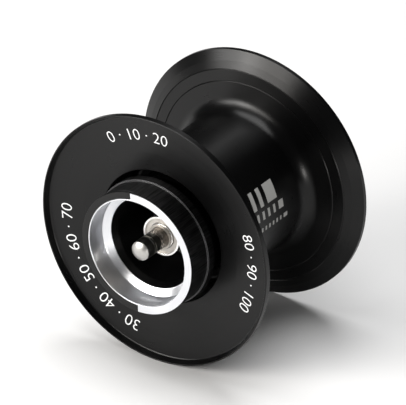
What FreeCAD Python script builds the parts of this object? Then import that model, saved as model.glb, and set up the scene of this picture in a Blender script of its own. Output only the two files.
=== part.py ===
import FreeCAD, Part
import math
import os
import Sketcher

# Low-profile casting reel spool, in mm.  The spin axis is Y; -Y is the brake side, +Y the
# handle side.  The origin is the middle of the brake-side bearing.

doc = FreeCAD.newDocument("reel_spool")
sheet = doc.addObject("Spreadsheet::Sheet", "Dims")

DIMS = {
    # spool body: flanges and drum
    "rim_r": 19.0, "bevel_r": 17.55, "line_one_r": 16.4, "line_two_r": 14.7, "drum_r": 10.6,
    "drum_fillet": 2.2, "rim_fillet": 0.12, "lip_fillet": 0.3,
    "near_edge": -3.25, "near_rim_back": -2.35, "near_bevel": -1.55, "near_line_one": -1.2,
    "near_line_two": -1.0, "near_root": -0.45,
    "far_edge": 21.95, "far_rim_back": 21.25, "far_bevel": 20.47, "far_line_one": 20.0,
    "far_line_two": 19.75, "far_root": 19.15,
    "lip_top_r": 18.78, "lip_foot_r": 18.42, "dish_outer_r": 15.8, "dish_inner_r": 13.0,
    "near_lip_foot": -2.3, "near_dish_outer": -1.95, "near_dish_inner": -1.65,
    "far_lip_foot": 21.35, "far_dish_outer": 20.9, "far_dish_inner": 20.6,
    "near_mouth_r": 10.15, "near_mouth": -1.25, "near_bore_r": 10.0, "near_mouth_foot": -1.1,
    "far_mouth_r": 10.05, "far_mouth": 20.2, "far_bore_r": 9.9, "far_mouth_foot": 20.05,
    "mark_half_width": 0.09, "mark_depth": 0.07,
    # spool body: web, hub and spigot
    "web_near": 5.75, "web_far": 6.95, "hub_r": 2.6, "hub_far": 17.95, "hub_nose_r": 2.4,
    "hub_near": 1.95, "hub_bore_r": 1.76, "web_fillet": 0.8,
    "spigot_r": 6.94, "spigot_bore_r": 6.55, "spigot_front": -3.4, "spigot_mouth_r": 6.88,
    "spigot_taper_foot": -2.25, "spigot_root_r": 7.7, "spigot_shoulder": 0.75,
    # brake rotor and the dark half ring let into its face
    "rotor_front": -7.05, "rotor_r": 9.25, "cup_r": 8.05, "ledge_start": -4.05,
    "ledge_foot_r": 7.02, "ledge_foot": -3.45, "rotor_bore_r": 6.95, "cup_fillet": 0.25,
    "rotor_step": -3.25, "rotor_flange_r": 9.5, "rotor_flange_back": -1.85,
    "rotor_tail_r": 8.0, "rotor_chamfer": 0.08,
    "rebate_r": 8.24, "rebate_floor": -6.45, "rebate_reach": 9.6, "rebate_angle": 174.5,
    "half_ring_r": 8.3, "half_ring_angle": 172.0, "half_ring_turn": 176.2,
    "half_ring_edge": 0.05,
    # shaft
    "tip_apex": -6.75, "tip_centre": -4.596, "tip_r": 1.38, "tip_edge": -6.25,
    "barrel_r": 1.43, "barrel_front": -6.15, "seat_r": 1.5, "barrel_back": -4.8,
    "lip_back": -4.56, "neck_r": 1.38, "neck_back": -4.25, "relief_r": 1.46,
    "relief_back": -3.14, "relief_line_r": 1.41, "relief_line_back": -3.04,
    "hub_seat_r": 1.75, "seat_far_end": 26.5, "tail_r": 1.25, "tail_start": 26.75,
    "tail_edge": 37.35, "tail_edge_r": 1.1, "tail_centre": 36.6471, "tail_apex": 37.95,
    # cross pin that the pinion drives
    "pin_r": 0.5, "pin_hole_r": 0.51, "pin_half_length": 2.4, "pin_y": 24.75,
    "pin_chamfer": 0.12, "pin_hole_reach": 4.0,
    # ball bearings, 3 x 6 x 2.5
    "bearing_r": 3.0, "bearing_half": 1.25, "bearing_chamfer": 0.08, "outer_land_r": 2.58,
    "inner_land_r": 1.92, "bearing_bore_r": 1.51, "pitch_r": 2.25, "ball_r": 0.4,
    "groove_r": 0.43, "recess_r": 2.7, "recess_floor": 0.88, "shield_r": 2.69,
    "shield_bore_r": 1.98, "shield_face": 1.0, "clip_r": 2.69, "clip_inner_r": 2.5,
    "clip_face": 1.12, "clip_angle": 325.0, "cage_inner_r": 2.12, "cage_outer_r": 2.38,
    "cage_half": 0.62, "pocket_r": 0.43, "pocket_reach": 3.2, "handle_bearing_y": 19.9,
    # spacers and retaining collars on the shaft
    "spacer_r": 1.9, "spacer_bore_r": 1.51, "brake_spacer_y": 1.25, "handle_spacer_y": 17.95,
    "spacer_length": 0.7, "retainer_r": 1.85, "retainer_length": 0.35,
    "brake_retainer_y": -1.6, "handle_retainer_y": 21.15, "retainer_fillet": 0.08,
}
BALLS = 7

for row, (alias, value) in enumerate(DIMS.items(), start=1):
    sheet.set("A%d" % row, alias)
    sheet.set("B%d" % row, str(value))
    sheet.setAlias("B%d" % row, alias)
doc.recompute()


def number(name):
    """Value of a cell name, which may carry a minus sign; a plain number is itself."""
    if not isinstance(name, str):
        return float(name)
    return -DIMS[name[1:]] if name.startswith("-") else DIMS[name]


def bound(name):
    """Expression for a cell name, with its sign."""
    return "-Dims.%s" % name[1:] if name.startswith("-") else "Dims.%s" % name


def bind(sketch, constraint, name):
    index = sketch.addConstraint(constraint)
    if isinstance(name, str):
        sketch.setExpression("Constraints[%d]" % index, bound(name))


def new_body(label):
    body = doc.addObject("PartDesign::Body", label)
    body.Label = label
    body.AllowCompound = True
    return body


def new_sketch(body, name, plane="XY_Plane"):
    sketch = body.newObject("Sketcher::SketchObject", body.Name + "_" + name)
    support = [f for f in body.Origin.OriginFeatures if f.Role == plane][0]
    sketch.AttachmentSupport = (support, [""])
    sketch.MapMode = "FlatFace"
    return sketch


def outline(sketch, points):
    """Closed outline.  A point is (x, y); (x, y, centre_y) is reached by an arc whose centre
    lies on the sketch's Y axis."""
    first = sketch.GeometryCount
    spots = [FreeCAD.Vector(number(p[0]), number(p[1]), 0) for p in points]
    ends = []
    for i, point in enumerate(points):
        start, stop = spots[i - 1], spots[i]
        if len(point) == 2:
            sketch.addGeometry(Part.LineSegment(start, stop))
            ends.append((1, 2))
        else:
            centre = FreeCAD.Vector(0, number(point[2]), 0)
            turn = [math.atan2(v.y - centre.y, v.x - centre.x) for v in (start, stop)]
            circle = Part.Circle(centre, FreeCAD.Vector(0, 0, 1), (start - centre).Length)
            forward = (turn[1] - turn[0]) % (2 * math.pi) < math.pi
            low, high = turn if forward else turn[::-1]
            sketch.addGeometry(Part.ArcOfCircle(circle, low, high))
            ends.append((1, 2) if forward else (2, 1))
            bind(sketch, Sketcher.Constraint("PointOnObject", first + i, 3, -2), None)
    for i in range(len(points)):
        after = (i + 1) % len(points)
        sketch.addConstraint(Sketcher.Constraint(
            "Coincident", first + i, ends[i][1], first + after, ends[after][0]))
    for i, point in enumerate(points):
        for kind, coordinate in (("DistanceX", point[0]), ("DistanceY", point[1])):
            bind(sketch, Sketcher.Constraint(kind, first + i, ends[i][1], number(coordinate)),
                 coordinate)


def circle(sketch, x, y, radius):
    index = sketch.addGeometry(Part.Circle(
        FreeCAD.Vector(number(x), number(y), 0), FreeCAD.Vector(0, 0, 1), number(radius)))
    bind(sketch, Sketcher.Constraint("DistanceX", index, 3, number(x)), x)
    bind(sketch, Sketcher.Constraint("DistanceY", index, 3, number(y)), y)
    bind(sketch, Sketcher.Constraint("Radius", index, number(radius)), radius)


def turned(body, kind, name, outlines, angle=None):
    """Revolution or Groove about Y; with an angle it is centred on the +X half plane."""
    sketch = new_sketch(body, name + "_sketch")
    for points in outlines:
        outline(sketch, points)
    doc.recompute()
    feature = body.newObject("PartDesign::" + kind, body.Name + "_" + name)
    feature.Profile = sketch
    feature.ReferenceAxis = (sketch, ["V_Axis"])
    feature.Angle = 360
    if angle:
        feature.Midplane = True
        feature.setExpression("Angle", bound(angle))
    doc.recompute()
    return feature


def rings(feature, spots):
    """Names of the circular edges at these (radius, y) spots."""
    names = []
    for radius, y in spots:
        found = []
        for i, edge in enumerate(feature.Shape.Edges, start=1):
            curve = edge.Curve
            if not isinstance(curve, Part.Circle) or abs(curve.Axis.y) < 0.99:
                continue
            if abs(curve.Radius - number(radius)) < 1e-3 and abs(curve.Center.y - number(y)) < 1e-3:
                found.append("Edge%d" % i)
        if not found:
            raise RuntimeError("no edge at %s, %s on %s" % (radius, y, feature.Name))
        names += found
    return names


def soften(body, kind, name, size, spots):
    """Fillet or Chamfer on the circular edges at the given spots."""
    base = body.Tip
    feature = body.newObject("PartDesign::" + kind, body.Name + "_" + name)
    feature.Base = (base, rings(base, spots))
    feature.setExpression("Radius" if kind == "Fillet" else "Size", bound(size))
    doc.recompute()
    return feature


def ring_body(label, inner, outer, low, high):
    """Plain turned ring between two radii and two heights."""
    body = new_body(label)
    turned(body, "Revolution", "ring", [[(inner, low), (outer, low), (outer, high), (inner, high)]])
    return body


def make_spool_body():
    body = new_body("spool_body")
    turned(body, "Revolution", "turning", [[
        ("rim_r", "near_edge"), ("rim_r", "near_rim_back"), ("bevel_r", "near_bevel"),
        ("line_one_r", "near_line_one"), ("line_two_r", "near_line_two"),
        ("drum_r", "near_root"), ("drum_r", "far_root"), ("line_two_r", "far_line_two"),
        ("line_one_r", "far_line_one"), ("bevel_r", "far_bevel"), ("rim_r", "far_rim_back"),
        ("rim_r", "far_edge"), ("lip_top_r", "far_edge"), ("lip_foot_r", "far_lip_foot"),
        ("dish_outer_r", "far_dish_outer"), ("dish_inner_r", "far_dish_inner"),
        ("far_mouth_r", "far_mouth"), ("far_bore_r", "far_mouth_foot"),
        ("far_bore_r", "web_far"), ("hub_r", "web_far"), ("hub_r", "hub_far"),
        ("hub_bore_r", "hub_far"), ("hub_bore_r", "hub_near"), ("hub_nose_r", "hub_near"),
        ("hub_nose_r", "web_near"), ("spigot_bore_r", "web_near"),
        ("spigot_bore_r", "spigot_taper_foot"), ("spigot_mouth_r", "spigot_front"),
        ("spigot_r", "spigot_front"), ("spigot_r", "spigot_shoulder"),
        ("spigot_root_r", "spigot_shoulder"), ("spigot_root_r", "web_near"),
        ("near_bore_r", "web_near"), ("near_bore_r", "near_mouth_foot"),
        ("near_mouth_r", "near_mouth"), ("dish_inner_r", "near_dish_inner"),
        ("dish_outer_r", "near_dish_outer"), ("lip_foot_r", "near_lip_foot"),
        ("lip_top_r", "near_edge")]])
    soften(body, "Fillet", "drum_corners", "drum_fillet",
           [("drum_r", "near_root"), ("drum_r", "far_root")])
    soften(body, "Fillet", "web_corners", "web_fillet",
           [("far_bore_r", "web_far"), ("hub_r", "web_far"), ("hub_nose_r", "web_near"),
            ("spigot_bore_r", "web_near"), ("spigot_root_r", "web_near"),
            ("near_bore_r", "web_near")])
    soften(body, "Fillet", "lip_feet", "lip_fillet",
           [("lip_foot_r", "near_lip_foot"), ("lip_foot_r", "far_lip_foot")])
    soften(body, "Fillet", "rim_edges", "rim_fillet",
           [("rim_r", "near_edge"), ("rim_r", "far_edge")])
    # fine turned lines on the line side of both flanges
    sketch = new_sketch(body, "fill_lines_sketch")
    for radius, near, far in (("line_one_r", "near_line_one", "far_line_one"),
                              ("line_two_r", "near_line_two", "far_line_two")):
        for y, inward in ((near, -1), (far, 1)):
            fill_line(sketch, radius, y, inward)
    doc.recompute()
    before = body.Tip.Shape.Volume
    groove = body.newObject("PartDesign::Groove", "spool_body_fill_lines")
    groove.Profile = sketch
    groove.ReferenceAxis = (sketch, ["V_Axis"])
    groove.Angle = 360
    doc.recompute()
    if groove.Shape.Volume >= before:
        raise RuntimeError("the fill lines cut nothing")
    return body


def fill_line(sketch, radius, y, inward):
    """V-shaped line sunk into a flange face at a radius; inward is the way it sinks in Y."""
    first = sketch.GeometryCount
    half, depth = DIMS["mark_half_width"], DIMS["mark_depth"]
    x0, y0 = DIMS[radius], DIMS[y]
    corners = [(x0 - half, y0 - inward * depth), (x0 + half, y0 - inward * depth),
               (x0, y0 + inward * depth)]
    offsets = [("-Dims.mark_half_width", "-"), (" + Dims.mark_half_width", "-"), ("", "+")]
    for i in range(3):
        a, b = corners[i - 1], corners[i]
        sketch.addGeometry(Part.LineSegment(FreeCAD.Vector(*a, 0), FreeCAD.Vector(*b, 0)))
    for i in range(3):
        sketch.addConstraint(Sketcher.Constraint(
            "Coincident", first + i, 2, first + (i + 1) % 3, 1))
    for i, (side, sink) in enumerate(offsets):
        index = sketch.addConstraint(Sketcher.Constraint("DistanceX", first + i, 2, corners[i][0]))
        sketch.setExpression("Constraints[%d]" % index, "Dims.%s%s" % (radius, side))
        index = sketch.addConstraint(Sketcher.Constraint("DistanceY", first + i, 2, corners[i][1]))
        sign = sink if inward > 0 else {"-": "+", "+": "-"}[sink]
        sketch.setExpression("Constraints[%d]" % index, "Dims.%s %s Dims.mark_depth" % (y, sign))


def make_brake_rotor():
    body = new_body("brake_rotor")
    turned(body, "Revolution", "turning", [[
        ("cup_r", "rotor_front"), ("rotor_r", "rotor_front"), ("rotor_r", "rotor_step"),
        ("rotor_flange_r", "rotor_step"), ("rotor_flange_r", "rotor_flange_back"),
        ("rotor_tail_r", "rotor_flange_back"), ("rotor_tail_r", "spigot_shoulder"),
        ("rotor_bore_r", "spigot_shoulder"), ("rotor_bore_r", "ledge_foot"),
        ("ledge_foot_r", "ledge_foot"), ("cup_r", "ledge_start")]])
    soften(body, "Fillet", "cup_foot", "cup_fillet", [("cup_r", "ledge_start")])
    soften(body, "Chamfer", "edges", "rotor_chamfer",
           [("rotor_flange_r", "rotor_step"), ("rotor_flange_r", "rotor_flange_back")])
    before = body.Tip.Shape.Volume
    turned(body, "Groove", "rebate", [[
        ("rebate_r", "rotor_front"), ("rebate_reach", "rotor_front"),
        ("rebate_reach", "rebate_floor"), ("rebate_r", "rebate_floor")]], "rebate_angle")
    if body.Tip.Shape.Volume >= before:
        raise RuntimeError("the rebate cuts nothing")
    body.Placement = FreeCAD.Placement(
        FreeCAD.Vector(), FreeCAD.Rotation(FreeCAD.Vector(0, 1, 0), DIMS["half_ring_turn"]))
    body.setExpression("Placement.Rotation.Angle", "Dims.half_ring_turn")
    return body


def make_half_ring():
    body = new_body("sensor_half_ring")
    turned(body, "Revolution", "sweep", [[
        ("half_ring_r", "rotor_front"), ("rotor_r", "rotor_front"),
        ("rotor_r", "rebate_floor"), ("half_ring_r", "rebate_floor")]], "half_ring_angle")
    body.Placement = FreeCAD.Placement(
        FreeCAD.Vector(), FreeCAD.Rotation(FreeCAD.Vector(0, 1, 0), DIMS["half_ring_turn"]))
    body.setExpression("Placement.Rotation.Angle", "Dims.half_ring_turn")
    return body


def make_shaft():
    body = new_body("spool_shaft")
    turned(body, "Revolution", "turning", [[
        (0, "tip_apex"), ("tip_r", "tip_edge", "tip_centre"), ("barrel_r", "barrel_front"),
        ("seat_r", "barrel_back"), ("seat_r", "lip_back"), ("neck_r", "lip_back"),
        ("neck_r", "neck_back"), ("relief_r", "neck_back"), ("relief_r", "relief_back"),
        ("relief_line_r", "relief_back"), ("relief_line_r", "relief_line_back"),
        ("seat_r", "relief_line_back"), ("seat_r", "hub_near"), ("hub_seat_r", "hub_near"),
        ("hub_seat_r", "hub_far"), ("seat_r", "hub_far"), ("seat_r", "seat_far_end"),
        ("tail_r", "tail_start"), ("tail_r", "tail_edge"), (0, "tail_apex", "tail_centre")]])
    sketch = new_sketch(body, "pin_hole_sketch", "YZ_Plane")
    circle(sketch, "pin_y", 0, "pin_hole_r")
    doc.recompute()
    before = body.Tip.Shape.Volume
    hole = body.newObject("PartDesign::Pocket", "spool_shaft_pin_hole")
    hole.Profile = sketch
    hole.Type = 0
    hole.Midplane = True
    hole.setExpression("Length", "Dims.pin_hole_reach")
    doc.recompute()
    if hole.Shape.Volume >= before:
        raise RuntimeError("the pin hole cuts nothing")
    return body


def make_drive_pin():
    body = new_body("drive_pin")
    sketch = new_sketch(body, "section", "YZ_Plane")
    circle(sketch, "pin_y", 0, "pin_r")
    doc.recompute()
    pad = body.newObject("PartDesign::Pad", "drive_pin_length")
    pad.Profile = sketch
    pad.Midplane = True
    pad.setExpression("Length", "Dims.pin_half_length * 2")
    doc.recompute()
    ends = [i for i, edge in enumerate(pad.Shape.Edges, start=1)
            if isinstance(edge.Curve, Part.Circle)]
    chamfer = body.newObject("PartDesign::Chamfer", "drive_pin_ends")
    chamfer.Base = (pad, ["Edge%d" % i for i in ends])
    chamfer.setExpression("Size", "Dims.pin_chamfer")
    doc.recompute()
    return body


def make_outer_race(side):
    body = new_body(side + "_bearing_outer_race")
    turned(body, "Revolution", "turning", [[
        ("recess_r", "-bearing_half"), ("bearing_r", "-bearing_half"),
        ("bearing_r", "bearing_half"), ("recess_r", "bearing_half"),
        ("recess_r", "recess_floor"), ("outer_land_r", "recess_floor"),
        ("outer_land_r", "-recess_floor"), ("recess_r", "-recess_floor")]])
    cut_raceway(body)
    soften(body, "Chamfer", "edges", "bearing_chamfer",
           [("bearing_r", "-bearing_half"), ("bearing_r", "bearing_half")])
    return body


def make_inner_race(side):
    body = new_body(side + "_bearing_inner_race")
    turned(body, "Revolution", "turning", [[
        ("bearing_bore_r", "-bearing_half"), ("inner_land_r", "-bearing_half"),
        ("inner_land_r", "bearing_half"), ("bearing_bore_r", "bearing_half")]])
    cut_raceway(body)
    return body


def cut_raceway(body):
    """Round groove for the balls, turned at the pitch radius."""
    sketch = new_sketch(body, "raceway_sketch")
    circle(sketch, "pitch_r", 0, "groove_r")
    doc.recompute()
    before = body.Tip.Shape.Volume
    groove = body.newObject("PartDesign::Groove", body.Name + "_raceway")
    groove.Profile = sketch
    groove.ReferenceAxis = (sketch, ["V_Axis"])
    groove.Angle = 360
    doc.recompute()
    if groove.Shape.Volume >= before:
        raise RuntimeError("the raceway cuts nothing")


def make_cage(side):
    body = new_body(side + "_bearing_cage")
    turned(body, "Revolution", "band", [[
        ("cage_inner_r", "-cage_half"), ("cage_outer_r", "-cage_half"),
        ("cage_outer_r", "cage_half"), ("cage_inner_r", "cage_half")]])
    sketch = new_sketch(body, "pocket_sketch", "YZ_Plane")
    circle(sketch, 0, 0, "pocket_r")
    doc.recompute()
    before = body.Tip.Shape.Volume
    pocket = body.newObject("PartDesign::Pocket", body.Name + "_pocket")
    pocket.Profile = sketch
    pocket.Type = 0
    pocket.Reversed = True
    pocket.setExpression("Length", "Dims.pocket_reach")
    body.Tip = pocket
    doc.recompute()
    middle = (DIMS["cage_inner_r"] + DIMS["cage_outer_r"]) / 2
    if pocket.Shape.Volume >= before or pocket.Shape.isInside(
            FreeCAD.Vector(middle, 0, 0), 1e-4, True):
        raise RuntimeError("the ball pocket faces the wrong way")
    pattern = body.newObject("PartDesign::PolarPattern", body.Name + "_pockets")
    pattern.Originals = [pocket]
    pattern.Axis = ([f for f in body.Origin.OriginFeatures if f.Role == "Y_Axis"][0], [""])
    pattern.Angle = 360
    pattern.Occurrences = BALLS
    body.Tip = pattern
    doc.recompute()
    return body


def make_balls(side):
    balls = []
    for i in range(BALLS):
        ball = doc.addObject("Part::Sphere", "%s_ball_%d" % (side, i))
        ball.setExpression("Radius", "Dims.ball_r")
        ball.setExpression("Placement.Base.x", "Dims.pitch_r * cos(360 * %d / %d)" % (i, BALLS))
        ball.setExpression("Placement.Base.z", "Dims.pitch_r * sin(360 * %d / %d)" % (i, BALLS))
        balls.append(ball)
    group = doc.addObject("Part::Compound", side + "_bearing_balls")
    group.Label = side + "_bearing_balls"
    group.Links = balls
    return group


def make_shields(side):
    body = new_body(side + "_bearing_shields")
    turned(body, "Revolution", "pair", [
        [("shield_bore_r", low), ("shield_r", low), ("shield_r", high), ("shield_bore_r", high)]
        for low, high in (("recess_floor", "shield_face"), ("-shield_face", "-recess_floor"))])
    return body


def make_clips(side):
    body = new_body(side + "_bearing_snap_rings")
    turned(body, "Revolution", "pair", [
        [("clip_inner_r", low), ("clip_r", low), ("clip_r", high), ("clip_inner_r", high)]
        for low, high in (("shield_face", "clip_face"), ("-clip_face", "-shield_face"))],
        "clip_angle")
    return body


def make_sleeve(label, radius, length, y, rounded):
    """Short sleeve on the shaft, standing at height y."""
    body = ring_body(label, "spacer_bore_r", radius, 0, length)
    if rounded:
        soften(body, "Fillet", "edges", "retainer_fillet", [(radius, 0), (radius, length)])
    body.setExpression("Placement.Base.y", "Dims." + y)
    return body


nodes = [make_spool_body(), make_brake_rotor(), make_half_ring(), make_shaft(), make_drive_pin()]
for side in ("brake", "handle"):
    bearing = [make(side) for make in (make_outer_race, make_inner_race, make_cage, make_balls,
                                       make_shields, make_clips)]
    if side == "handle":
        for node in bearing:
            node.setExpression("Placement.Base.y", "Dims.handle_bearing_y")
    nodes += bearing
    nodes.append(make_sleeve(side + "_spacer", "spacer_r", "spacer_length",
                             side + "_spacer_y", False))
    nodes.append(make_sleeve(side + "_retaining_collar", "retainer_r", "retainer_length",
                             side + "_retainer_y", True))
doc.recompute()

for thing in doc.Objects:
    if "Invalid" in thing.State or "Error" in thing.State:
        raise RuntimeError("%s did not build: %s" % (thing.Label, thing.State))

os.makedirs("parts", exist_ok=True)
for node in nodes:
    shape = node.Shape
    if shape.isNull() or not shape.isValid() or not shape.Solids:
        raise RuntimeError("%s has no valid solid" % node.Label)
    shape.exportStep("parts/%s.step" % node.Label)
    box = shape.BoundBox
    print("%-28s %2d solids %9.3f mm3  x %.2f..%.2f y %.2f..%.2f z %.2f..%.2f" % (
        node.Label, len(shape.Solids), shape.Volume, box.XMin, box.XMax, box.YMin, box.YMax,
        box.ZMin, box.ZMax))
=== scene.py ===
import math

import bmesh
import bpy
from bpy.props import FloatProperty, FloatVectorProperty, PointerProperty
from mathutils import Matrix, Vector


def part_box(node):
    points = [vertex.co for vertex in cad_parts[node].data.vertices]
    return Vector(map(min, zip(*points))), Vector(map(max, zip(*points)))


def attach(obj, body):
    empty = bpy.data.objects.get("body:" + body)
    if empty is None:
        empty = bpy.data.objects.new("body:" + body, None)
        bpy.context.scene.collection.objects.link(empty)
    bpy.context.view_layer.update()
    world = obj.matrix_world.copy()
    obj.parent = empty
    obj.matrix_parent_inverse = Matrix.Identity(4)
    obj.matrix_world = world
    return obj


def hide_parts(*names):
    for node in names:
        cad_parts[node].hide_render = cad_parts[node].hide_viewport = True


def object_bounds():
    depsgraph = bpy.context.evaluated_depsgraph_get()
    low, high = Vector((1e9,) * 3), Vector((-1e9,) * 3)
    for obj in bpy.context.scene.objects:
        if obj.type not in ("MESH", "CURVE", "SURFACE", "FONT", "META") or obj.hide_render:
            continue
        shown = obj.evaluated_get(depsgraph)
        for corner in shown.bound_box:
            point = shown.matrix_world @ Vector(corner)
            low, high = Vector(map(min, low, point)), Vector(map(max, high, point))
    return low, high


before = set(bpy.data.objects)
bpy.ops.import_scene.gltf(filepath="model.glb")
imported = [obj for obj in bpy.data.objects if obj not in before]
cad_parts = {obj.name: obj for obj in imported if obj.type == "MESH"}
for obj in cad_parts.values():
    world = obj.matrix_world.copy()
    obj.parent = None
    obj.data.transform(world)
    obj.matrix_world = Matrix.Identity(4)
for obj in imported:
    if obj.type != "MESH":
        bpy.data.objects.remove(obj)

bl_info = {
    "name": "Casting Reel Spool",
    "version": (1, 0, 0),
    "blender": (4, 5, 0),
    "location": "3D View > Sidebar > Spool",
    "description": "Builds the looks of a casting reel spool around its packed parts",
    "category": "Add Mesh",
}

MM = 0.001
TURN = 2 * math.pi
TOUCH = 1e-7
WHOLE_TURN_STEPS = 288
ARC_STEP = math.radians(9)
DOME_STEPS = 12
RACEWAY_STEPS = 10
RELIEF = 0.00002
CAD_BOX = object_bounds()
BODY_LOW, BODY_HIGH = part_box("spool_body")
ROTOR_LOW, ROTOR_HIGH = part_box("brake_rotor")
SHAFT_LOW, SHAFT_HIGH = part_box("spool_shaft")
SIDES = ("brake", "handle")


# ---------------------------------------------------------------- properties

def length(name, description, default):
    return FloatProperty(name=name, description=description, default=default,
                         unit="LENGTH", subtype="DISTANCE", precision=5)


def lengths(name, description, default):
    return FloatVectorProperty(name=name, description=description, default=default,
                               size=len(default), unit="LENGTH", precision=5)


def angle(name, description, degrees):
    return FloatProperty(name=name, description=description, default=math.radians(degrees),
                         unit="ROTATION", subtype="ANGLE")


def colour(name, description, default):
    return FloatVectorProperty(name=name, description=description, default=default,
                               size=3, subtype="COLOR", min=0, max=1)


def amount(name, description, default):
    return FloatProperty(name=name, description=description, default=default, min=0)


class SpoolBodySizes(bpy.types.PropertyGroup):
    """Sizes of the turned spool body"""
    rim_radius: length("Rim radius", "Outside of both flanges", BODY_HIGH.x)
    drum_radius: length("Drum radius", "Outside of the drum that the line is wound on", 0.0106)
    drum_fillet: length("Drum fillet", "Rounding between drum and flanges", 0.0022)
    line_radii: lengths("Line-side radii", "Bevel, first fill line, second fill line",
                        (0.01755, 0.0164, 0.0147))
    near_steps: lengths("Near line-side steps", "Rim, bevel, lines and root, from the near edge in",
                        (0.0009, 0.0008, 0.00035, 0.0002, 0.00055))
    far_steps: lengths("Far line-side steps", "Rim, bevel, lines and root, from the far edge in",
                       (0.0007, 0.00078, 0.00047, 0.00025, 0.0006))
    fill_line: lengths("Fill line", "Half width and depth of a fill line", (0.00009, 0.00007))
    dish_radii: lengths("Dish radii", "Lip top, lip foot and the two bends of the dished face",
                        (0.01878, 0.01842, 0.0158, 0.013))
    near_dish: lengths("Near dish steps", "Lip foot, two bends, mouth and bore edge",
                       (0.00095, 0.00035, 0.0003, 0.0004, 0.00015))
    far_dish: lengths("Far dish steps", "Lip foot, two bends, mouth and bore edge",
                      (0.0006, 0.00045, 0.0003, 0.0004, 0.00015))
    near_bore: lengths("Near bore", "Radii of the mouth and the bore", (0.01015, 0.01))
    far_bore: lengths("Far bore", "Radii of the mouth and the bore", (0.01005, 0.0099))
    web: lengths("Web", "Near and far face of the web", (0.00575, 0.00695))
    web_fillet: length("Web fillet", "Rounding at the foot of hub, spigot and bores", 0.0008)
    hub: lengths("Hub", "Radius of the long hub, radius of its nose, its bore",
                 (0.0026, 0.0024, 0.00176))
    hub_ends: lengths("Hub ends", "Where the nose and the long hub end", (0.00195, 0.01795))
    spigot: lengths("Spigot", "Outside, root, bore and mouth radii",
                    (0.00694, 0.0077, 0.00655, 0.00688))
    spigot_heights: lengths("Spigot heights", "Shoulder, and the foot of its tapered mouth",
                            (0.00075, -0.00225))
    spigot_proud: length("Spigot proud", "How far the spigot stands out of the rim plane", 0.00015)
    edge: length("Edge break", "Rounding of the turned edges", 0.00006)


class RotorSizes(bpy.types.PropertyGroup):
    """Sizes of the brake rotor and its half-dark face"""
    wall: lengths("Wall", "Inner and outer radius of the cup", (0.00805, 0.00925))
    ledge: lengths("Ledge", "Heights of the ledge's outer and inner edge", (-0.00405, -0.00345))
    ledge_radius: length("Ledge radius", "Inner edge of the ledge", 0.00702)
    bore: length("Bore", "Bore that sits on the spigot", 0.00695)
    flange: lengths("Flange", "Front and back height of the foot flange", (-0.00325, -0.00185))
    tail: length("Tail", "Radius behind the flange", 0.008)
    land: lengths("Land", "Inner radius of the let-in face and its floor height",
                  (0.00824, -0.00645))
    dark_radius: length("Dark ring radius", "Inner radius of the dark half ring", 0.0083)
    dark_middle: angle("Dark middle", "Where the middle of the dark half lies", 183.8)
    dark_sweep: angle("Dark sweep", "How far the dark half ring reaches round", 172.0)
    rebate_sweep: angle("Rebate sweep", "How far the rebate for it reaches round", 174.5)


class ShaftSizes(bpy.types.PropertyGroup):
    """Sizes of the shaft"""
    seat: length("Seat radius", "Ground seats of both bearings", 0.0015)
    tip: lengths("Tip", "Radius and length of the domed tip", (0.00138, 0.0005))
    barrel: lengths("Barrel", "Radius at the tip and height of both ends",
                    (0.00143, -0.00615, -0.0048))
    neck: lengths("Neck", "Radius, front and back of the neck", (0.00138, -0.00456, -0.00425))
    relief: lengths("Relief", "Radius and end of the dark relief", (0.00146, -0.00314))
    relief_line: lengths("Relief line", "Radius and end of its groove", (0.00141, -0.00304))
    hub_seat: length("Hub seat", "Radius inside the hub", 0.00175)
    tail: lengths("Tail", "Radius, end of the seat, start and end of the tail",
                  (0.00125, 0.0265, 0.02675, 0.03735))


class BearingSizes(bpy.types.PropertyGroup):
    """Sizes of the miniature ball bearings"""
    outer_land: length("Outer land", "Inner radius of the outer race", 0.00258)
    inner_land: length("Inner land", "Outer radius of the inner race", 0.00192)
    bore: length("Bore", "Bore of the inner race", 0.00151)
    recess: lengths("Recess", "Radius and floor of the shield recess", (0.0027, 0.00088))
    groove: lengths("Raceway", "Pitch radius and groove radius", (0.00225, 0.00043))
    shield: lengths("Shield", "Inner radius, outer radius, back, face",
                    (0.00198, 0.00269, 0.00088, 0.001))
    clip: lengths("Snap ring", "Inner radius, outer radius, back, face",
                  (0.0025, 0.00269, 0.001, 0.00112))
    clip_sweep: angle("Snap ring sweep", "How far a snap ring reaches round", 325.0)


class MarkSizes(bpy.types.PropertyGroup):
    """Printed numbers on the near face and bars on the drum"""
    ring: lengths("Number ring", "Inner and outer radius of the numbers", (0.0149, 0.0166))
    film: length("Film", "Half thickness of the printed film", 0.000012)
    thinning: FloatProperty(name="Thinning", default=-0.012,
                            description="Offset of the number strokes, negative for thinner")


class SpoolColours(bpy.types.PropertyGroup):
    """Colours of the finishes"""
    anodised: colour("Anodised black", "Satin black coat of the spool", (0.0014, 0.0014, 0.0015))
    rotor_dark: colour("Rotor outside", "Dark coat on the rotor's outside", (0.065, 0.065, 0.067))
    bare: colour("Bare aluminium", "Machined aluminium", (0.82, 0.83, 0.86))
    sensor: colour("Dark half", "Matt dark half ring", (0.0025, 0.0025, 0.0025))
    steel: colour("Ground steel", "Shaft and seats", (0.21, 0.19, 0.17))
    # painted shade: a darker copy of the shaft steel, standing for the dark bore reflected in the
    # barrel, neck and relief
    shaft_steel_painted_shade: colour("Shaft steel in painted shade", "Relief and barrel of the shaft", (0.15, 0.145, 0.13))
    race: colour("Race steel", "Polished bearing races", (0.88, 0.87, 0.85))
    shield: colour("Shield steel", "Matt bearing shields", (0.60, 0.57, 0.53))
    tip: colour("Tip steel", "Domed tip, lip and tail of the shaft", (0.50, 0.49, 0.47))
    collar: colour("Collar steel", "Retaining collars", (0.46, 0.43, 0.39))
    print_white: colour("White print", "Numbers on the near face", (0.86, 0.87, 0.88))
    print_grey: colour("Grey print", "Bars on the drum", (0.36, 0.36, 0.35))


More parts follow.
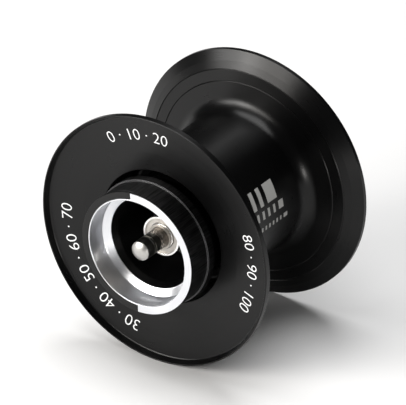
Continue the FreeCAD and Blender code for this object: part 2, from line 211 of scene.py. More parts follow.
class StageSizes(bpy.types.PropertyGroup):
    """Camera and lights"""
    azimuth: angle("Azimuth", "Camera direction round the spool", 34.85)
    elevation: angle("Elevation", "Camera height angle", 29.41)
    distance: length("Distance", "Camera distance", 0.5577)
    lens: FloatProperty(name="Lens", description="Focal length in millimetres", default=357.3)
    aim: lengths("Aim", "Point in the middle of the view", (0.004176, 0.002967, 0.004817))
    floor: length("Floor", "Width of the floor", 6.0)
    room: amount("Room light", "Strength of the even light all round", 0.05)


GROUPS = {"spool_body_sizes": SpoolBodySizes, "spool_rotor_sizes": RotorSizes,
          "spool_shaft_sizes": ShaftSizes, "spool_bearing_sizes": BearingSizes,
          "spool_mark_sizes": MarkSizes, "spool_colours": SpoolColours,
          "spool_stage": StageSizes}


# ---------------------------------------------------------------- shader maths

class Wire:
    """An output socket; arithmetic on it adds Math nodes"""

    def __init__(self, finish, socket):
        self.finish = finish
        self.socket = socket

    def math(self, operation, *values):
        return self.finish.node("ShaderNodeMath", {"operation": operation},
                                {i: value for i, value in enumerate(values)})

    def __add__(self, other):
        return self.math("ADD", self, other)

    def __radd__(self, other):
        return self.math("ADD", other, self)

    def __sub__(self, other):
        return self.math("SUBTRACT", self, other)

    def __rsub__(self, other):
        return self.math("SUBTRACT", other, self)

    def __mul__(self, other):
        return self.math("MULTIPLY", self, other)

    def __rmul__(self, other):
        return self.math("MULTIPLY", other, self)

    def __pow__(self, other):
        return self.math("POWER", self, other)


class Finish:
    """A material under construction"""

    def __init__(self, name):
        self.material = bpy.data.materials.new(name)
        self.material.use_nodes = True
        self.tree = self.material.node_tree
        self.tree.nodes.clear()

    def node(self, kind, settings=None, inputs=None, output=0):
        """Adds a node, sets its settings and then its sockets, and returns one output"""
        node = self.tree.nodes.new(kind)
        for key, value in (settings or {}).items():
            setattr(node, key, value)
        for key, value in (inputs or {}).items():
            if isinstance(value, Wire):
                self.tree.links.new(value.socket, node.inputs[key])
            else:
                node.inputs[key].default_value = value
        return Wire(self, node.outputs[output])

    def place(self):
        """Object coordinates as separate wires; Z is the spin axis"""
        coordinates = self.node("ShaderNodeTexCoord", output="Object")
        split = self.tree.nodes.new("ShaderNodeSeparateXYZ")
        self.tree.links.new(coordinates.socket, split.inputs[0])
        return [Wire(self, socket) for socket in split.outputs]

    def polar(self):
        """Radius, angle and height as wires"""
        x, y, z = self.place()
        return (x * x + y * y) ** 0.5, y.math("ARCTAN2", y, x), z

    def noise(self, x, y, z, scale, detail=2.0):
        """Noise at a point given by three values, from 0 to 1"""
        point = self.node("ShaderNodeCombineXYZ", None, {0: x, 1: y, 2: z})
        return self.node("ShaderNodeTexNoise", {"noise_dimensions": "3D"},
                         {"Vector": point, "Scale": scale, "Detail": detail})

    def tint(self, factor, dark, light):
        """Colour between two colours"""
        return self.node("ShaderNodeMix", {"data_type": "RGBA"},
                         {"Factor": factor, 6: (*dark, 1), 7: (*light, 1)}, output=2)

    def bump(self, height, strength):
        """Fine relief from a height wire"""
        return self.node("ShaderNodeBump", None,
                         {"Height": height, "Strength": strength, "Distance": RELIEF})

    def surface(self, **sockets):
        """Closes the material with a Principled shader"""
        names = {key.replace("_", " ").title(): value for key, value in sockets.items()}
        if "Specular" in names:
            names["Specular IOR Level"] = names.pop("Specular")
        shader = self.node("ShaderNodeBsdfPrincipled", None, names)
        output = self.tree.nodes.new("ShaderNodeOutputMaterial")
        self.tree.links.new(shader.socket, output.inputs["Surface"])
        return self.material


def shade(colour, factor):
    """A colour made lighter or darker"""
    return tuple(min(1.0, channel * factor) for channel in colour)


def anodised_finish(colours):
    """Satin black anodising over fine turning marks"""
    finish = Finish("satin black anodising")
    radius, turn, height = finish.polar()
    marks = finish.noise(radius, height, turn * 0.0004, 9000.0, 3.0)
    cloud = finish.noise(*finish.place(), 260.0, 4.0)
    grain = finish.noise(*finish.place(), 5200.0, 2.0)
    base = finish.tint(cloud * 0.5 + marks * 0.5, shade(colours.anodised, 0.75),
                       shade(colours.anodised, 1.3))
    rough = 0.24 + marks * 0.04 + cloud * 0.05
    normal = finish.bump(marks * 0.7 + grain * 0.3, 0.06)
    return finish.surface(base_color=base, roughness=rough, normal=normal, metallic=0.0,
                          specular=0.26, anisotropic=0.7, anisotropic_rotation=0.25)


def rotor_dark_finish(colours):
    """Dark graphite coat brushed along the axis"""
    finish = Finish("dark brushed rotor coat")
    radius, turn, height = finish.polar()
    brushing = finish.noise(turn * 0.008, height * 0.04, radius, 7500.0, 4.0)
    blotch = finish.noise(*finish.place(), 500.0, 3.0)
    streaks = brushing * 2.4 - 0.7
    base = finish.tint(streaks, shade(colours.rotor_dark, 0.35), shade(colours.rotor_dark, 1.9))
    rough = 0.26 + brushing * 0.2 + blotch * 0.05
    return finish.surface(base_color=base, roughness=rough, metallic=1.0,
                          normal=finish.bump(brushing, 0.2),
                          anisotropic=0.6)


def bare_finish(colours):
    """Bare aluminium with fine lathe grooves"""
    finish = Finish("bare turned aluminium")
    radius, turn, height = finish.polar()
    grooves = finish.noise(radius, height, turn * 0.0003, 11000.0, 4.0)
    cloud = finish.noise(*finish.place(), 340.0, 3.0)
    base = finish.tint(grooves * 0.6 + cloud * 0.4, shade(colours.bare, 0.86),
                       shade(colours.bare, 1.06))
    rough = 0.27 + grooves * 0.06
    return finish.surface(base_color=base, roughness=rough, metallic=1.0,
                          normal=finish.bump(grooves, 0.015),
                          anisotropic=0.65, anisotropic_rotation=0.25)


def sensor_finish(colours):
    """Matt dark half ring"""
    finish = Finish("matt dark face")
    radius, turn, height = finish.polar()
    rings = finish.noise(radius, turn * 0.0004, height, 12000.0, 2.0)
    grain = finish.noise(*finish.place(), 3600.0, 2.0)
    base = finish.tint(rings, shade(colours.sensor, 0.8), shade(colours.sensor, 1.5))
    return finish.surface(base_color=base, roughness=0.36 + grain * 0.1, metallic=0.0,
                          normal=finish.bump(rings * 0.6 + grain * 0.4, 0.08),
                          specular=0.3)


def steel_finish(name, colour, rough, grooves=9000.0, depth=0.03):
    """Turned or ground steel with rings round the axis"""
    finish = Finish(name)
    radius, turn, height = finish.polar()
    rings = finish.noise(radius, height, turn * 0.0004, grooves, 3.0)
    cloud = finish.noise(*finish.place(), 900.0, 3.0)
    base = finish.tint(rings * 0.5 + cloud * 0.5, shade(colour, 0.84), shade(colour, 1.12))
    return finish.surface(base_color=base, roughness=rough + rings * 0.08 + cloud * 0.04,
                          metallic=1.0, normal=finish.bump(rings, depth))


def print_finish(name, colour):
    """Printed ink, very slightly uneven"""
    finish = Finish(name)
    speckle = finish.noise(*finish.place(), 4200.0, 3.0)
    base = finish.tint(speckle, shade(colour, 0.93), shade(colour, 1.05))
    return finish.surface(base_color=base, roughness=0.5 + speckle * 0.1,
                          normal=finish.bump(speckle, 0.08))


def floor_finish():
    """Plain pale floor, the same all over"""
    finish = Finish("pale floor")
    mottle = finish.noise(*finish.place(), 4.0, 2.0)
    base = finish.tint(mottle, (0.84, 0.84, 0.84), (0.86, 0.86, 0.86))
    return finish.surface(base_color=base, roughness=0.8, specular=0.1)


FINISHES = {}


def finish_of(name):
    """The named finish, made when it is first asked for"""
    colours = bpy.context.scene.spool_colours
    makers = {
        "anodised": lambda: anodised_finish(colours),
        "rotor dark": lambda: rotor_dark_finish(colours),
        "bare": lambda: bare_finish(colours),
        "sensor": lambda: sensor_finish(colours),
        "ground": lambda: steel_finish("ground shaft steel", colours.steel, 0.22),
        # the darker shaft steel is painted shade, not a different steel
        "shaft steel painted shade": lambda: steel_finish("shaft steel darkened as painted shade", colours.shaft_steel_painted_shade, 0.26),
        "tip": lambda: steel_finish("polished tip", colours.tip, 0.3, 6000.0),
        "race": lambda: steel_finish("polished race steel", colours.race, 0.16, 8000.0),
        "shield": lambda: steel_finish("matt shield steel", colours.shield, 0.4, 7000.0, 0.06),
        "collar": lambda: steel_finish("turned collar steel", colours.collar, 0.3),
        "ball": lambda: steel_finish("polished ball steel", colours.race, 0.06, 3000.0, 0.02),
        "white": lambda: print_finish("white print", colours.print_white),
        "grey": lambda: print_finish("grey print", colours.print_grey),
    }
    if name not in FINISHES:
        FINISHES[name] = makers[name]()
    return FINISHES[name]


# ---------------------------------------------------------------- turned pieces

def corner(radius, height, rounding=0.0, finish=0):
    """A corner of an outline; finish is the one used from here to the next corner"""
    return (radius, height, rounding, finish)


def runs_of(outline):
    """Straight and rounded runs of a closed outline: (start, end, normal, normal, finish).
    The outline has the metal on its left, with radius across and height up."""
    bends = []
    count = len(outline)
    for i, (radius, height, rounding, finish) in enumerate(outline):
        here = Vector((radius, height))
        enter = here - Vector(outline[i - 1][:2])
        leave = Vector(outline[(i + 1) % count][:2]) - here
        room = 0.48 * min(enter.length, leave.length)
        enter.normalize()
        leave.normalize()
        bend = math.atan2(enter.x * leave.y - enter.y * leave.x, enter.dot(leave))
        if rounding <= 0 or radius < TOUCH or abs(bend) < math.radians(0.5):
            bends.append(([here], [None], finish))
            continue
        reach = min(rounding * math.tan(abs(bend) / 2), room)
        size = math.copysign(reach / math.tan(abs(bend) / 2), bend)
        start = here - enter * reach
        centre = start + Vector((-enter.y, enter.x)) * size
        steps = max(2, math.ceil(abs(bend) / ARC_STEP))
        points, normals = [], []
        for k in range(steps + 1):
            arm = Matrix.Rotation(bend * k / steps, 2) @ (start - centre)
            points.append(centre + arm)
            normals.append(arm / size)
        bends.append((points, normals, finish))
    runs = []
    for i, (points, normals, finish) in enumerate(bends):
        for k in range(len(points) - 1):
            runs.append((points[k], points[k + 1], normals[k], normals[k + 1], finish))
        start, end = points[-1], bends[(i + 1) % count][0][0]
        along = (end - start).normalized()
        side = Vector((along.y, -along.x))
        runs.append((start, end, side, side, finish))
    return runs


def turned(name, outline, finishes, body, middle=0.0, spans=((0.0, TURN),), fine=1.0):
    """A turned piece about the spin axis, or a set of arcs of one.
    middle is where height 0 of the outline lies along the axis; a span is (start, sweep)."""
    runs = [run for run in runs_of(outline) if run[0].x > TOUCH or run[1].x > TOUCH]
    vertices, faces, slots, normals = [], [], [], []
    for start, sweep in spans:
        whole = sweep > TURN - TOUCH
        steps = max(3, round(WHOLE_TURN_STEPS * fine * sweep / TURN))
        columns = steps if whole else steps + 1
        turns = [start + sweep * k / steps for k in range(columns)]
        rows = []
        for run in runs:
            first = len(vertices)
            if run[0].x > TOUCH:
                vertices += [(run[0].x * math.cos(a), run[0].x * math.sin(a), run[0].y)
                             for a in turns]
                rows.append([first + k for k in range(columns)])
            else:
                vertices.append((0.0, 0.0, run[0].y))
                rows.append([first] * columns)
        if runs[-1][1].x < TOUCH:
            vertices.append((0.0, 0.0, runs[-1][1].y))
            rows.append([len(vertices) - 1] * columns)
        for i, run in enumerate(runs):
            near, far = rows[i], rows[(i + 1) % len(rows)]
            for k in range(steps):
                j = (k + 1) % columns
                loop = [(near[k], k, 2), (near[j], j, 2), (far[j], j, 3), (far[k], k, 3)]
                if near[k] == near[j]:
                    loop.pop(0)
                if far[k] == far[j]:
                    loop.pop()
                faces.append([vertex for vertex, _, _ in loop])
                slots.append(run[4])
                for _, column, which in loop:
                    side = run[which]
                    turn = turns[column]
                    normals.append((side.x * math.cos(turn), side.x * math.sin(turn), side.y))
        if not whole:
            for column, sign in ((0, -1), (columns - 1, 1)):
                ring = [row[column] for row in rows][::-sign]
                turn = turns[column]
                faces.append(ring)
                slots.append(0)
                normals += [(-math.sin(turn) * sign, math.cos(turn) * sign, 0.0)] * len(ring)
    return placed(name, vertices, faces, slots, normals, finishes, body, middle)


def placed(name, vertices, faces, slots, normals, finishes, body, middle):
    """Makes the mesh object, sets it on the spin axis and lets it ride on a body"""
    mesh = bpy.data.meshes.new(name)
    mesh.from_pydata(vertices, [], faces)
    for finish in finishes:
        mesh.materials.append(finish_of(finish))
    mesh.polygons.foreach_set("material_index", slots)
    mesh.polygons.foreach_set("use_smooth", [True] * len(faces))
    if mesh.validate():
        raise RuntimeError(name + " has a bad face")
    if normals:
        mesh.normals_split_custom_set(normals)
    piece = bpy.data.objects.new(name, mesh)
    bpy.context.scene.collection.objects.link(piece)
    piece.location = (0.0, middle, 0.0)
    piece.rotation_euler = (-math.pi / 2, 0.0, 0.0)
    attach(piece, body)
    return piece


def stands_for(node):
    """Hides a CAD node, so that the piece built for it shows in its place"""
    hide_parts(node)


def ring(inner, outer, back, front, rounding=0.0, finish=0):
    """Outline of a plain ring between two heights"""
    return [corner(inner, back, rounding, finish), corner(outer, back, rounding, finish),
            corner(outer, front, rounding, finish), corner(inner, front, rounding, finish)]


# ---------------------------------------------------------------- outlines

def groove(radius, height, inward, sizes):
    """Corners of a fine line sunk into a flange's line side, in order of falling radius"""
    half, depth = sizes.fill_line
    return [(radius + half, height), (radius, height + inward * depth), (radius - half, height)]


def body_outline(sizes):
    """Outline of the spool body, going round with the metal on the left"""
    near, far = BODY_LOW.y + sizes.spigot_proud, BODY_HIGH.y
    rim, drum = sizes.rim_radius, sizes.drum_radius
    bevel, line_one, line_two = sizes.line_radii
    n, f = [near], [far]
    for step in sizes.near_steps:
        n.append(n[-1] + step)
    for step in sizes.far_steps:
        f.append(f[-1] - step)
    nd, fd = [near + sizes.near_dish[0]], [far - sizes.far_dish[0]]
    for step in sizes.near_dish[1:]:
        nd.append(nd[-1] + step)
    for step in sizes.far_dish[1:]:
        fd.append(fd[-1] - step)
    lip_top, lip_foot, dish_out, dish_in = sizes.dish_radii
    near_mouth, near_bore = sizes.near_bore
    far_mouth, far_bore = sizes.far_bore
    web_near, web_far = sizes.web
    hub, nose, hub_bore = sizes.hub
    hub_near, hub_far = sizes.hub_ends
    spigot, root, spigot_bore, spigot_mouth = sizes.spigot
    shoulder, taper = sizes.spigot_heights
    edge, foot = sizes.edge, sizes.web_fillet
    bevel_round, lip_round, mouth_round = 0.0004, 0.0003, 0.00002
    far_bend, near_bend = 0.002, 0.004
    points = [corner(rim, n[0], 2 * edge), corner(rim, n[1], edge),
              corner(bevel, n[2], bevel_round)]
    points += [corner(*p) for p in groove(line_one, n[3], -1, sizes)]
    points += [corner(*p) for p in groove(line_two, n[4], -1, sizes)]
    points += [corner(drum, n[5], sizes.drum_fillet), corner(drum, f[5], sizes.drum_fillet)]
    points += [corner(*p) for p in groove(line_two, f[4], 1, sizes)[::-1]]
    points += [corner(*p) for p in groove(line_one, f[3], 1, sizes)[::-1]]
    points += [corner(bevel, f[2], bevel_round), corner(rim, f[1], edge),
               corner(rim, f[0], 2 * edge), corner(lip_top, f[0], edge),
               corner(lip_foot, fd[0], lip_round), corner(dish_out, fd[1], far_bend),
               corner(dish_in, fd[2], far_bend), corner(far_mouth, fd[3], edge),
               corner(far_bore, fd[4], edge), corner(far_bore, web_far, foot),
               corner(hub, web_far, foot), corner(hub, hub_far, edge),
               corner(hub_bore, hub_far, 0), corner(hub_bore, hub_near, 0),
               corner(nose, hub_near, edge), corner(nose, web_near, foot),
               corner(spigot_bore, web_near, foot), corner(spigot_bore, taper, edge),
               corner(spigot_mouth, near - sizes.spigot_proud, mouth_round),
               corner(spigot, near - sizes.spigot_proud, mouth_round),
               corner(spigot, shoulder, 0), corner(root, shoulder, edge),
               corner(root, web_near, foot), corner(near_bore, web_near, foot),
               corner(near_bore, nd[4], edge), corner(near_mouth, nd[3], edge),
               corner(dish_in, nd[2], near_bend), corner(dish_out, nd[1], near_bend),
               corner(lip_foot, nd[0], lip_round), corner(lip_top, n[0], edge)]
    return points


def dish_height(sizes, radius):
    """Height of the near dished face at a radius outside its inner bend"""
    near = BODY_LOW.y + sizes.spigot_proud
    foot = near + sizes.near_dish[0]
    out = foot + sizes.near_dish[1]
    inner = out + sizes.near_dish[2]
    _, lip_foot, dish_out, dish_in = sizes.dish_radii
    if radius > dish_out:
        return out + (foot - out) * (radius - dish_out) / (lip_foot - dish_out)
    return out + (inner - out) * (dish_out - radius) / (dish_out - dish_in)


# ---------------------------------------------------------------- printed marks

NUMBER_ARCS = (("0 · 10 · 20", 122.0, 84.0), ("30 · 40 · 50 · 60 · 70", 257.5, 178.0),
               ("80 · 90 · 100", 20.0, -25.0))


def number_mesh(words, thinning):
    """Flat faces of a row of plain numbers, as a mesh that is one unit tall"""
    curve = bpy.data.curves.new("numbers", "FONT")
    curve.body = words
    curve.resolution_u = 4
    curve.offset = thinning
    holder = bpy.data.objects.new("numbers", curve)
    bpy.context.scene.collection.objects.link(holder)
    bpy.context.view_layer.update()
    shape = bpy.data.meshes.new_from_object(holder)
    bpy.data.objects.remove(holder)
    work = bmesh.new()
    work.from_mesh(shape)
    bmesh.ops.remove_doubles(work, verts=work.verts, dist=1e-4)
    bmesh.ops.dissolve_limit(work, angle_limit=0.02, verts=work.verts, edges=work.edges)
    bmesh.ops.triangulate(work, faces=work.faces)
    low = Vector([min(v.co[i] for v in work.verts) for i in range(3)])
    high = Vector([max(v.co[i] for v in work.verts) for i in range(3)])
    for vertex in work.verts:
        vertex.co = Vector(((vertex.co.x - low.x) / (high.x - low.x),
                            (vertex.co.y - low.y) / (high.y - low.y), 0.0))
    work.normal_update()
    if sum(face.normal.z for face in work.faces) < 0:
        bmesh.ops.reverse_faces(work, faces=work.faces)
    return work


class SPOOL_OT_face_numbers(bpy.types.Operator):
    """Adds the ring of plain white numbers on the near face"""
    bl_idname = "spool.face_numbers"
    bl_label = "Face numbers"

    def execute(self, context):
        marks = context.scene.spool_mark_sizes
        body = context.scene.spool_body_sizes
        inner, outer = marks.ring
        vertices, faces = [], []
        for words, start, end in NUMBER_ARCS:
            work = number_mesh(words, marks.thinning)
            skin = list(work.faces)
            rim = [edge for edge in work.edges if edge.is_boundary]
            for layer, lift in ((0, -marks.film), (1, marks.film)):
                first = len(vertices)
                work.verts.index_update()
                for vertex in work.verts:
                    radius = inner + (outer - inner) * vertex.co.y
                    turn = -math.radians(start + (end - start) * vertex.co.x)
                    vertices.append((radius * math.cos(turn), radius * math.sin(turn),
                                     dish_height(body, radius) - lift))
                for face in skin:
                    order = [first + v.index for v in face.verts]
                    faces.append(order[::-1] if layer == 1 else order)
            size = len(work.verts)
            for edge in rim:
                loop = edge.link_loops[0]
                a, b = loop.vert.index, loop.link_loop_next.vert.index
                low, high = len(vertices) - 2 * size, len(vertices) - size
                faces.append([low + b, low + a, high + a, high + b])
            work.free()
        piece = placed("face_numbers", vertices, faces, [0] * len(faces), None, ["white"],
                       "spool", 0.0)
        outward(piece)
        return {"FINISHED"}


def outward(piece):
    """Turns every face of a closed piece outwards and shades it flat"""
    work = bmesh.new()
    work.from_mesh(piece.data)
    bmesh.ops.recalc_face_normals(work, faces=work.faces)
    work.to_mesh(piece.data)
    work.free()
    piece.data.polygons.foreach_set("use_smooth", [False] * len(piece.data.polygons))


# blocks of the drum marks: (first angle, last angle, from, to) in degrees and millimetres
DRUM_ROWS = ((17.7, 33.0, ((5.2, 6.0), (6.9, 7.7), (8.6, 9.4), (10.3, 12.5))),
             (7.6, 14.3, ((6.0, 6.5), (7.3, 7.8), (8.6, 9.1), (9.9, 10.4), (11.2, 11.7),
                          (12.5, 13.6))),
             (-1.9, 1.6, ((7.2, 7.55), (8.1, 8.45), (9.0, 9.35), (9.9, 10.25), (10.8, 11.15),
                          (11.7, 12.05), (12.6, 12.95), (13.5, 14.4))))


class SPOOL_OT_drum_marks(bpy.types.Operator):
    """Adds the three rows of grey gauge bars on the drum"""
    bl_idname = "spool.drum_marks"
    bl_label = "Drum marks"

    def execute(self, context):
        drum = context.scene.spool_body_sizes.drum_radius
        film = context.scene.spool_mark_sizes.film
        for row, (first, last, bars) in enumerate(DRUM_ROWS, start=1):
            span = (-math.radians(last), math.radians(last - first))
            for bar, (start, end) in enumerate(bars, start=1):
                outline = ring(drum - film, drum + film, start * MM, end * MM)
                turned("drum_mark_%d_%d" % (row, bar), outline, ["grey"], "spool",
                       spans=[span])
        return {"FINISHED"}


# ---------------------------------------------------------------- pieces

class SPOOL_OT_body(bpy.types.Operator):
    """Adds the turned black spool body"""
    bl_idname = "spool.body"
    bl_label = "Spool body"

    def execute(self, context):
        outline = body_outline(context.scene.spool_body_sizes)
        piece = turned("spool_body_turned", outline, ["anodised"], "spool")
        stands_for("spool_body")
        return {"FINISHED"}


class SPOOL_OT_rotor(bpy.types.Operator):
    """Adds the cupped brake rotor, bare inside and dark outside, with its dark half ring"""
    bl_idname = "spool.rotor"
    bl_label = "Brake rotor"

    def execute(self, context):
        sizes = context.scene.spool_rotor_sizes
        front = ROTOR_LOW.y
        cup, wall = sizes.wall
        ledge_out, ledge_in = sizes.ledge
        step, back = sizes.flange
        land, floor = sizes.land
        flange = ROTOR_HIGH.x
        edge, fine, foot = 0.00005, 0.00008, 0.0001
        ledge_edge, cup_fillet = 0.00003, 0.00025
        bare, dark = 1, 0

        def section(face):
            return face + [
                corner(wall, step, foot, dark), corner(flange, step, fine, dark),
                corner(flange, back, fine, dark), corner(sizes.tail, back, fine, dark),
                corner(sizes.tail, ROTOR_HIGH.y, fine, dark),
                corner(sizes.bore, ROTOR_HIGH.y, 0, bare),
                corner(sizes.bore, ledge_in, 0, bare),
                corner(sizes.ledge_radius, ledge_in, ledge_edge, bare),
                corner(cup, ledge_out, cup_fillet, bare)]

        whole = [corner(cup, front, edge, bare), corner(wall, front, edge, dark)]
        let_in = [corner(cup, front, edge, bare), corner(land, front, edge, bare),
                  corner(land, floor, 0, dark), corner(wall, floor, edge, dark)]
        middle = -sizes.dark_middle
        rebate = sizes.rebate_sweep
        for name, face, start, sweep in (
                ("brake_rotor_bright_half", whole, middle + rebate / 2, TURN - rebate),
                ("brake_rotor_dark_half", let_in, middle - rebate / 2, rebate)):
            piece = turned(name, section(face), ["rotor dark", "bare"], "spool",
                           spans=[(start, sweep)])
            # the last two faces are the cut ends of the arc, where metal shows
            for polygon in piece.data.polygons[-2:]:
                polygon.material_index = 1
            stands_for("brake_rotor")
        sweep = sizes.dark_sweep
        outline = ring(sizes.dark_radius, wall, front, floor, edge)
        piece = turned("sensor_half_ring_matt", outline, ["sensor"], "spool",
                       spans=[(middle - sweep / 2, sweep)])
        stands_for("sensor_half_ring")
        return {"FINISHED"}


class SPOOL_OT_shaft(bpy.types.Operator):
    """Adds the through shaft and gives the cross pin from the CAD model its finish"""
    bl_idname = "spool.shaft"
    bl_label = "Shaft and pin"

    def execute(self, context):
        sizes = context.scene.spool_shaft_sizes
        tip, tip_length = sizes.tip
        barrel, barrel_front, barrel_back = sizes.barrel
        neck, lip_back, neck_back = sizes.neck
        relief, relief_back = sizes.relief
        line, line_back = sizes.relief_line
        tail, seat_end, tail_start, tail_edge = sizes.tail
        seat, hub_seat = sizes.seat, sizes.hub_seat
        hub_near, hub_far = context.scene.spool_body_sizes.hub_ends
        fine, barrel_edge = 0.00004, 0.00006
        outline = dome(tip, SHAFT_LOW.y + tip_length, -tip_length, 2)
        outline += [corner(barrel, barrel_front, barrel_edge, 1),
                    corner(seat, barrel_back, fine, 2), corner(seat, lip_back, fine, 1),
                    corner(neck, lip_back, 0, 1), corner(neck, neck_back, 0, 1),
                    corner(relief, neck_back, fine, 1), corner(relief, relief_back, fine, 1),
                    corner(line, relief_back, 0, 0), corner(line, line_back, 0, 0),
                    corner(seat, line_back, fine, 0), corner(seat, hub_near, 0, 0),
                    corner(hub_seat, hub_near, fine, 0), corner(hub_seat, hub_far, fine, 0),
                    corner(seat, hub_far, 0, 2), corner(seat, seat_end, fine, 2),
                    corner(tail, tail_start, fine, 2)]
        outline += dome(tail, tail_edge, SHAFT_HIGH.y - tail_edge, 2)
        # slot 1, on the barrel, neck and relief, is the darker copy of the shaft steel: painted
        # shade
        piece = turned("spool_shaft_turned", outline, ["ground", "shaft steel painted shade", "tip"], "spool",
                       fine=0.5)
        stands_for("spool_shaft")
        pin_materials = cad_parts["drive_pin"].data.materials
        pin_materials.clear()
        pin_materials.append(finish_of("ground"))
        return {"FINISHED"}


def dome(edge_radius, edge_height, rise, finish):
    """Corners of a domed end; a negative rise is the front end, which comes first"""
    size = (edge_radius ** 2 + rise ** 2) / (2 * abs(rise))
    centre = edge_height + rise - math.copysign(size, rise)
    reach = math.asin(min(1.0, edge_radius / size))
    facet_edge = 0.00003
    points = []
    for k in range(DOME_STEPS + 1):
        turn = reach * k / DOME_STEPS
        points.append((size * math.sin(turn), centre + math.copysign(size, rise) * math.cos(turn)))
    points[0] = (0.0, edge_height + rise)
    if rise > 0:
        points = points[::-1]
    return [corner(radius, height, facet_edge, finish) for radius, height in points]


class SPOOL_OT_bearings(bpy.types.Operator):
    """Adds the races, shields and snap rings of both ball bearings, and gives the cage and balls
    from the CAD model their finish
    """
    bl_idname = "spool.bearings"
    bl_label = "Ball bearings"

    def execute(self, context):
        sizes = context.scene.spool_bearing_sizes
        for side in SIDES:
            low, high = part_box(side + "_bearing_outer_race")
            middle, half = (low.y + high.y) / 2, (high.y - low.y) / 2
            self.races(side, sizes, high.x, middle, half)
            self.shields(side, sizes, middle)
            for part in ("balls", "cage"):
                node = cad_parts[side + "_bearing_" + part]
                node.data.materials.clear()
                node.data.materials.append(finish_of("ball" if part == "balls" else "shield"))
                if part == "balls":
                    node.data.polygons.foreach_set(
                        "use_smooth", [True] * len(node.data.polygons))
        return {"FINISHED"}

    def races(self, side, sizes, outside, middle, half):
        recess, floor = sizes.recess
        pitch, groove_radius = sizes.groove
        land, inner_land, bore = sizes.outer_land, sizes.inner_land, sizes.bore
        fine = 0.00008
        outline = [corner(recess, -half, fine / 3), corner(outside, -half, fine),
                   corner(outside, half, fine), corner(recess, half, fine / 3),
                   corner(recess, floor, 0), corner(land, floor, fine / 3)]
        outline += raceway(pitch, groove_radius, land, 1)
        outline += [corner(land, -floor, fine / 3), corner(recess, -floor, 0)]
        piece = turned(side + "_bearing_outer_race_ground", outline, ["race"],
                       side + "_bearing_ring", middle, fine=0.5)
        stands_for(side + "_bearing_outer_race")
        outline = [corner(bore, -half, fine), corner(inner_land, -half, fine)]
        outline += raceway(pitch, groove_radius, inner_land, -1)
        outline += [corner(inner_land, half, fine), corner(bore, half, fine)]
        piece = turned(side + "_bearing_inner_race_ground", outline, ["race"], "spool", middle,
                       fine=0.5)
        stands_for(side + "_bearing_inner_race")

    def shields(self, side, sizes, middle):
        bore, outside, back, face = sizes.shield
        clip_bore, clip_outside, clip_back, clip_face = sizes.clip
        sweep = sizes.clip_sweep
        shield_edge, clip_edge = 0.00003, 0.00004
        for end, sign in (("near", -1), ("far", 1)):
            heights = sorted((sign * back, sign * face))
            piece = turned("%s_bearing_shield_%s" % (side, end),
                           ring(bore, outside, *heights, shield_edge), ["shield"],
                           side + "_bearing_ring", middle, fine=0.5)
            stands_for(side + "_bearing_shields")
            heights = sorted((sign * clip_back, sign * clip_face))
            piece = turned("%s_bearing_snap_ring_%s" % (side, end),
                           ring(clip_bore, clip_outside, *heights, clip_edge), ["shield"],
                           side + "_bearing_ring", middle,
                           spans=[(-sweep / 2, sweep)], fine=0.5)
            stands_for(side + "_bearing_snap_rings")


def raceway(pitch, size, land, sign):
    """Corners of a ball groove in a race; sign 1 for the outer race, -1 for the inner"""
    reach = math.acos((land - pitch) * sign / size)
    facet_edge = 0.00002
    points = []
    for k in range(RACEWAY_STEPS + 1):
        turn = reach - 2 * reach * k / RACEWAY_STEPS
        points.append(corner(pitch + sign * size * math.cos(turn),
                             sign * size * math.sin(turn), facet_edge))
    return points


class SPOOL_OT_sleeves(bpy.types.Operator):
    """Adds the spacers behind the bearings and the collars that keep them on"""
    bl_idname = "spool.sleeves"
    bl_label = "Spacers and collars"

    def execute(self, context):
        spacer_edge, collar_edge = 0.00002, 0.00008
        for side in SIDES:
            for node, finish, slot, edge in (
                    (side + "_spacer", "ground", "spacer_steel", spacer_edge),
                    (side + "_retaining_collar", "collar", "collar_steel", collar_edge)):
                low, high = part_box(node)
                bore = context.scene.spool_bearing_sizes.bore
                piece = turned(node + "_turned", ring(bore, high.x, low.y, high.y, edge),
                               [finish], "spool", fine=0.5)
                stands_for(node)
        return {"FINISHED"}


class SPOOL_OT_stage(bpy.types.Operator):
    """Adds the floor, the studio lights and the camera"""
    bl_idname = "spool.stage"
    bl_label = "Stage"

    def execute(self, context):
        stage = context.scene.spool_stage
        scene = context.scene
        scene.view_settings.view_transform = "Standard"
        width = stage.floor / 2
        mesh = bpy.data.meshes.new("floor")
        mesh.from_pydata([(-width, -width, 0), (width, -width, 0), (width, width, 0),
                          (-width, width, 0)], [], [(0, 1, 2, 3)])
        mesh.materials.append(floor_finish())
        floor = bpy.data.objects.new("floor", mesh)
        floor.location.z = CAD_BOX[0][2] - 0.00002
        scene.collection.objects.link(floor)
        world = bpy.data.worlds.new("studio")
        world.use_nodes = True
        backdrop = world.node_tree.nodes["Background"]
        backdrop.inputs["Color"].default_value = (1, 1, 1, 1)
        backdrop.inputs["Strength"].default_value = stage.room
        scene.world = world
        aim = Vector(stage.aim)
        for name, spot, direction, distance, size, power, tint in LIGHTS:
            data = bpy.data.lights.new(name, "AREA")
            data.shape = "RECTANGLE"
            data.size, data.size_y = size
            data.energy = power
            data.color = tint
            lamp = bpy.data.objects.new(name, data)
            towards = Vector(direction).normalized()
            lamp.location = Vector(spot) + towards * distance
            lamp.rotation_euler = towards.to_track_quat("Z", "Y").to_euler()
            scene.collection.objects.link(lamp)
        data = bpy.data.cameras.new("camera")
        data.lens = stage.lens
        data.sensor_width, data.clip_start, data.clip_end = 36, 0.01, 50
        camera = bpy.data.objects.new("camera", data)
        across, rise = stage.azimuth, stage.elevation
        back = Vector((math.sin(across) * math.cos(rise), -math.cos(across) * math.cos(rise),
                       math.sin(rise)))
        camera.location = aim + back * stage.distance
        camera.rotation_euler = (math.pi / 2 - rise, 0, across)
        scene.collection.objects.link(camera)
        scene.camera = camera
        return {"FINISHED"}


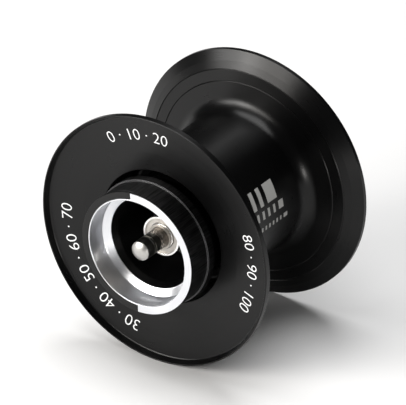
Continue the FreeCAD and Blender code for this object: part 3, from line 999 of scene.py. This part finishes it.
# name, aim, direction from it, distance, size, power, tint
LIGHTS = (
    ("front_box", (0, 0.01, 0), (-0.37, -0.84, 0.40), 0.5, (0.26, 0.18), 1.6, (1.0, 0.97, 0.93)),
    ("side_box", (0, 0.01, 0), (0.76, -0.63, -0.03), 0.5, (0.08, 0.14), 1.0, (1.0, 0.98, 0.95)),
    ("fill_box", (-0.015, -0.02, -0.019), (-0.62, -0.68, 0.42), 0.35, (0.16, 0.12), 0.6,
     (1.0, 0.99, 0.97)),
    ("overhead_box", (0, 0.02, 0), (-0.15, 0.10, 1.0), 0.7, (0.6, 0.6), 5.5, (1.0, 1.0, 1.0)),
)


class SPOOL_PT_panel(bpy.types.Panel):
    """Lists the pieces of the spool"""
    bl_label = "Casting Reel Spool"
    bl_idname = "SPOOL_PT_panel"
    bl_space_type = "VIEW_3D"
    bl_region_type = "UI"
    bl_category = "Spool"

    def draw(self, context):
        for operator in OPERATORS:
            self.layout.operator(operator.bl_idname)
        for group in GROUPS:
            box = self.layout.box()
            holder = getattr(context.scene, group)
            for name in holder.bl_rna.properties.keys():
                if name not in ("rna_type", "name"):
                    box.prop(holder, name)


OPERATORS = (SPOOL_OT_body, SPOOL_OT_face_numbers, SPOOL_OT_drum_marks, SPOOL_OT_rotor,
             SPOOL_OT_shaft, SPOOL_OT_bearings, SPOOL_OT_sleeves, SPOOL_OT_stage)


def register():
    for group in GROUPS.values():
        bpy.utils.register_class(group)
    for name, group in GROUPS.items():
        setattr(bpy.types.Scene, name, PointerProperty(type=group))
    for operator in OPERATORS:
        bpy.utils.register_class(operator)
    bpy.utils.register_class(SPOOL_PT_panel)


def unregister():
    bpy.utils.unregister_class(SPOOL_PT_panel)
    for operator in reversed(OPERATORS):
        bpy.utils.unregister_class(operator)
    for name in GROUPS:
        delattr(bpy.types.Scene, name)
    for group in reversed(list(GROUPS.values())):
        bpy.utils.unregister_class(group)


def main():
    register()
    bpy.ops.spool.body()
    bpy.ops.spool.face_numbers()
    bpy.ops.spool.drum_marks()
    bpy.ops.spool.rotor()
    bpy.ops.spool.shaft()
    bpy.ops.spool.bearings()
    bpy.ops.spool.sleeves()
    bpy.ops.spool.stage()


if __name__ == "__main__":
    main()
